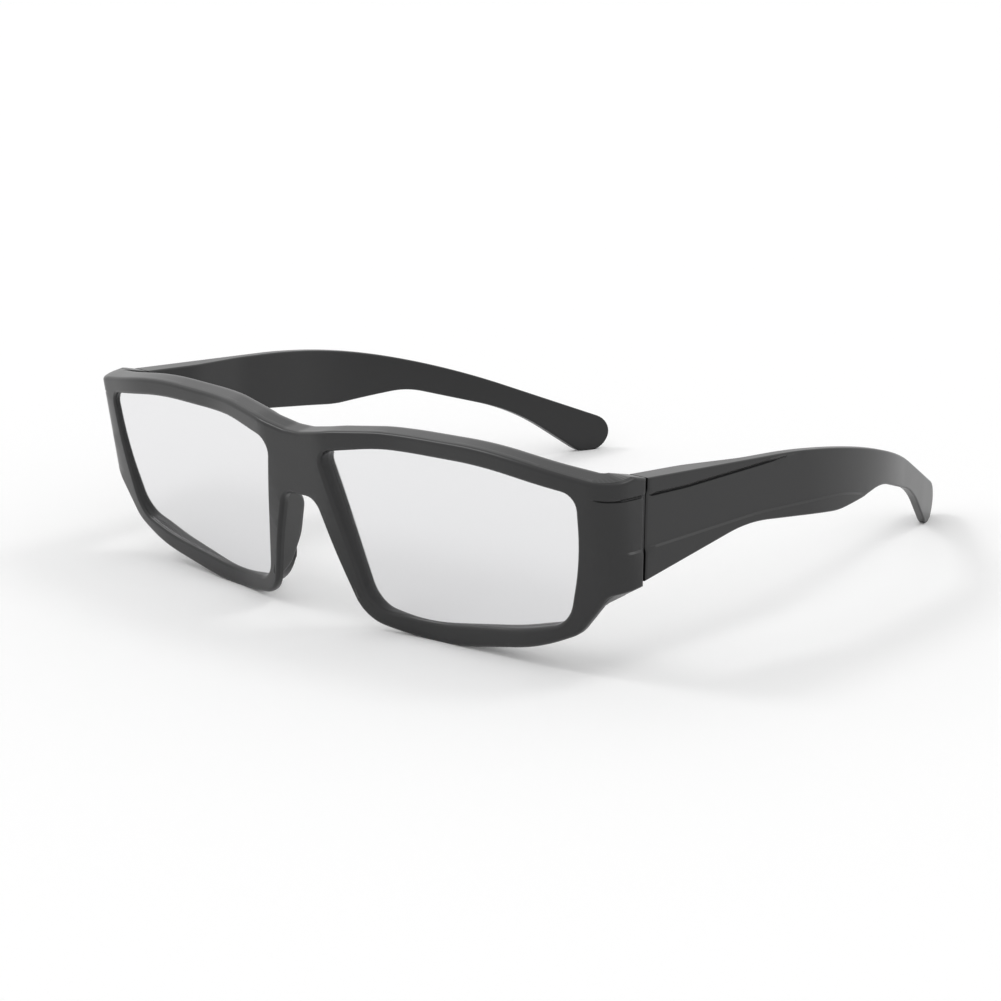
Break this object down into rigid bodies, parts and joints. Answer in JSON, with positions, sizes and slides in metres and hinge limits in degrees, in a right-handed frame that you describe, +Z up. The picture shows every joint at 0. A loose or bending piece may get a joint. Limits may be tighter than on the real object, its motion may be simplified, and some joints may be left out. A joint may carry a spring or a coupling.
{
  "type": "eclipse glasses",
  "caption": "Black plastic eclipse glasses with flat silvered film lenses, broad side arms that fold inward and arm tips bent behind the ears.",
  "frame": {"origin": "centre of the footprint's box, on the surface the glasses stand on with the arms open", "axes": "+X to the wearer's left, +Y from the front towards the arm tips, +Z up; the lower edges of the rims and the arm tips rest at z = 0"},
  "size_m": [0.168, 0.1494, 0.0457],
  "materials": {
    "black_plastic": "fine satin grain, soft moulded edges",
    "retainer_plastic": "matte",
    "solar_film": "silvered polymer film, slightly hazy mirror",
    "hinge_steel": "stamped, plain",
    "screw_steel": "turned, plain"
  },
  "bodies": {
    "front": {"front_frame": "black_plastic", "lens_left": "solar_film", "lens_right": "solar_film", "lens_retainer_left": "retainer_plastic", "lens_retainer_right": "retainer_plastic", "frame_hinge_leaf_left": "hinge_steel", "frame_hinge_leaf_right": "hinge_steel", "frame_leaf_screws_left": "screw_steel", "frame_leaf_screws_right": "screw_steel", "hinge_screw_left": "screw_steel", "hinge_screw_right": "screw_steel"},
    "arm_left": {"temple_left": "black_plastic", "temple_hinge_leaf_left": "hinge_steel", "temple_leaf_screws_left": "screw_steel"},
    "arm_right": {"temple_right": "black_plastic", "temple_hinge_leaf_right": "hinge_steel", "temple_leaf_screws_right": "screw_steel"}
  },
  "joints": [
    {"name": "arm_left_fold", "type": "hinge", "parent": "front", "child": "arm_left", "pos_m": [0.0775, -0.05332, 0.03054], "axis": [0, 0.0831, 0.9965], "range_deg": [0, 80]},
    {"name": "arm_right_fold", "type": "hinge", "parent": "front", "child": "arm_right", "pos_m": [-0.0775, -0.05332, 0.03054], "axis": [0, -0.0831, -0.9965], "range_deg": [0, 72]}
  ]
}
